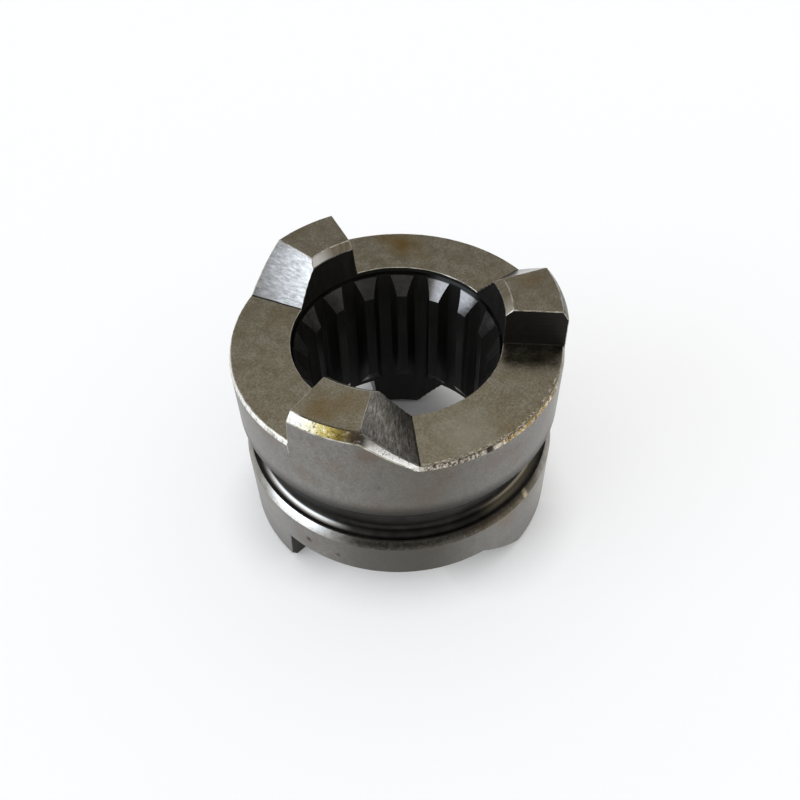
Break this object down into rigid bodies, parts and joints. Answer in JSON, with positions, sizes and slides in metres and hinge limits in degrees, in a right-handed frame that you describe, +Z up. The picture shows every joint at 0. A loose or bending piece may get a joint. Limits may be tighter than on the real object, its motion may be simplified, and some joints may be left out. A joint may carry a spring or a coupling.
{
  "type": "dog clutch sleeve",
  "caption": "Short steel dog clutch sleeve with a splined bore, a fork groove round its outside and ramped dogs standing on both ends.",
  "frame": {"origin": "on the shaft axis, in the plane that the lower dogs stand on", "axes": "+Z up along the shaft axis; -Y towards the side that the picture shows in front, +X to the right in the picture"},
  "size_m": [0.0474, 0.0474, 0.0373],
  "materials": {
    "steel": "case-hardened steel, dark satin skin from heat treatment and oil, bright ground edges"
  },
  "bodies": {
    "root": {"clutch_sleeve": "steel"}
  },
  "joints": []
}
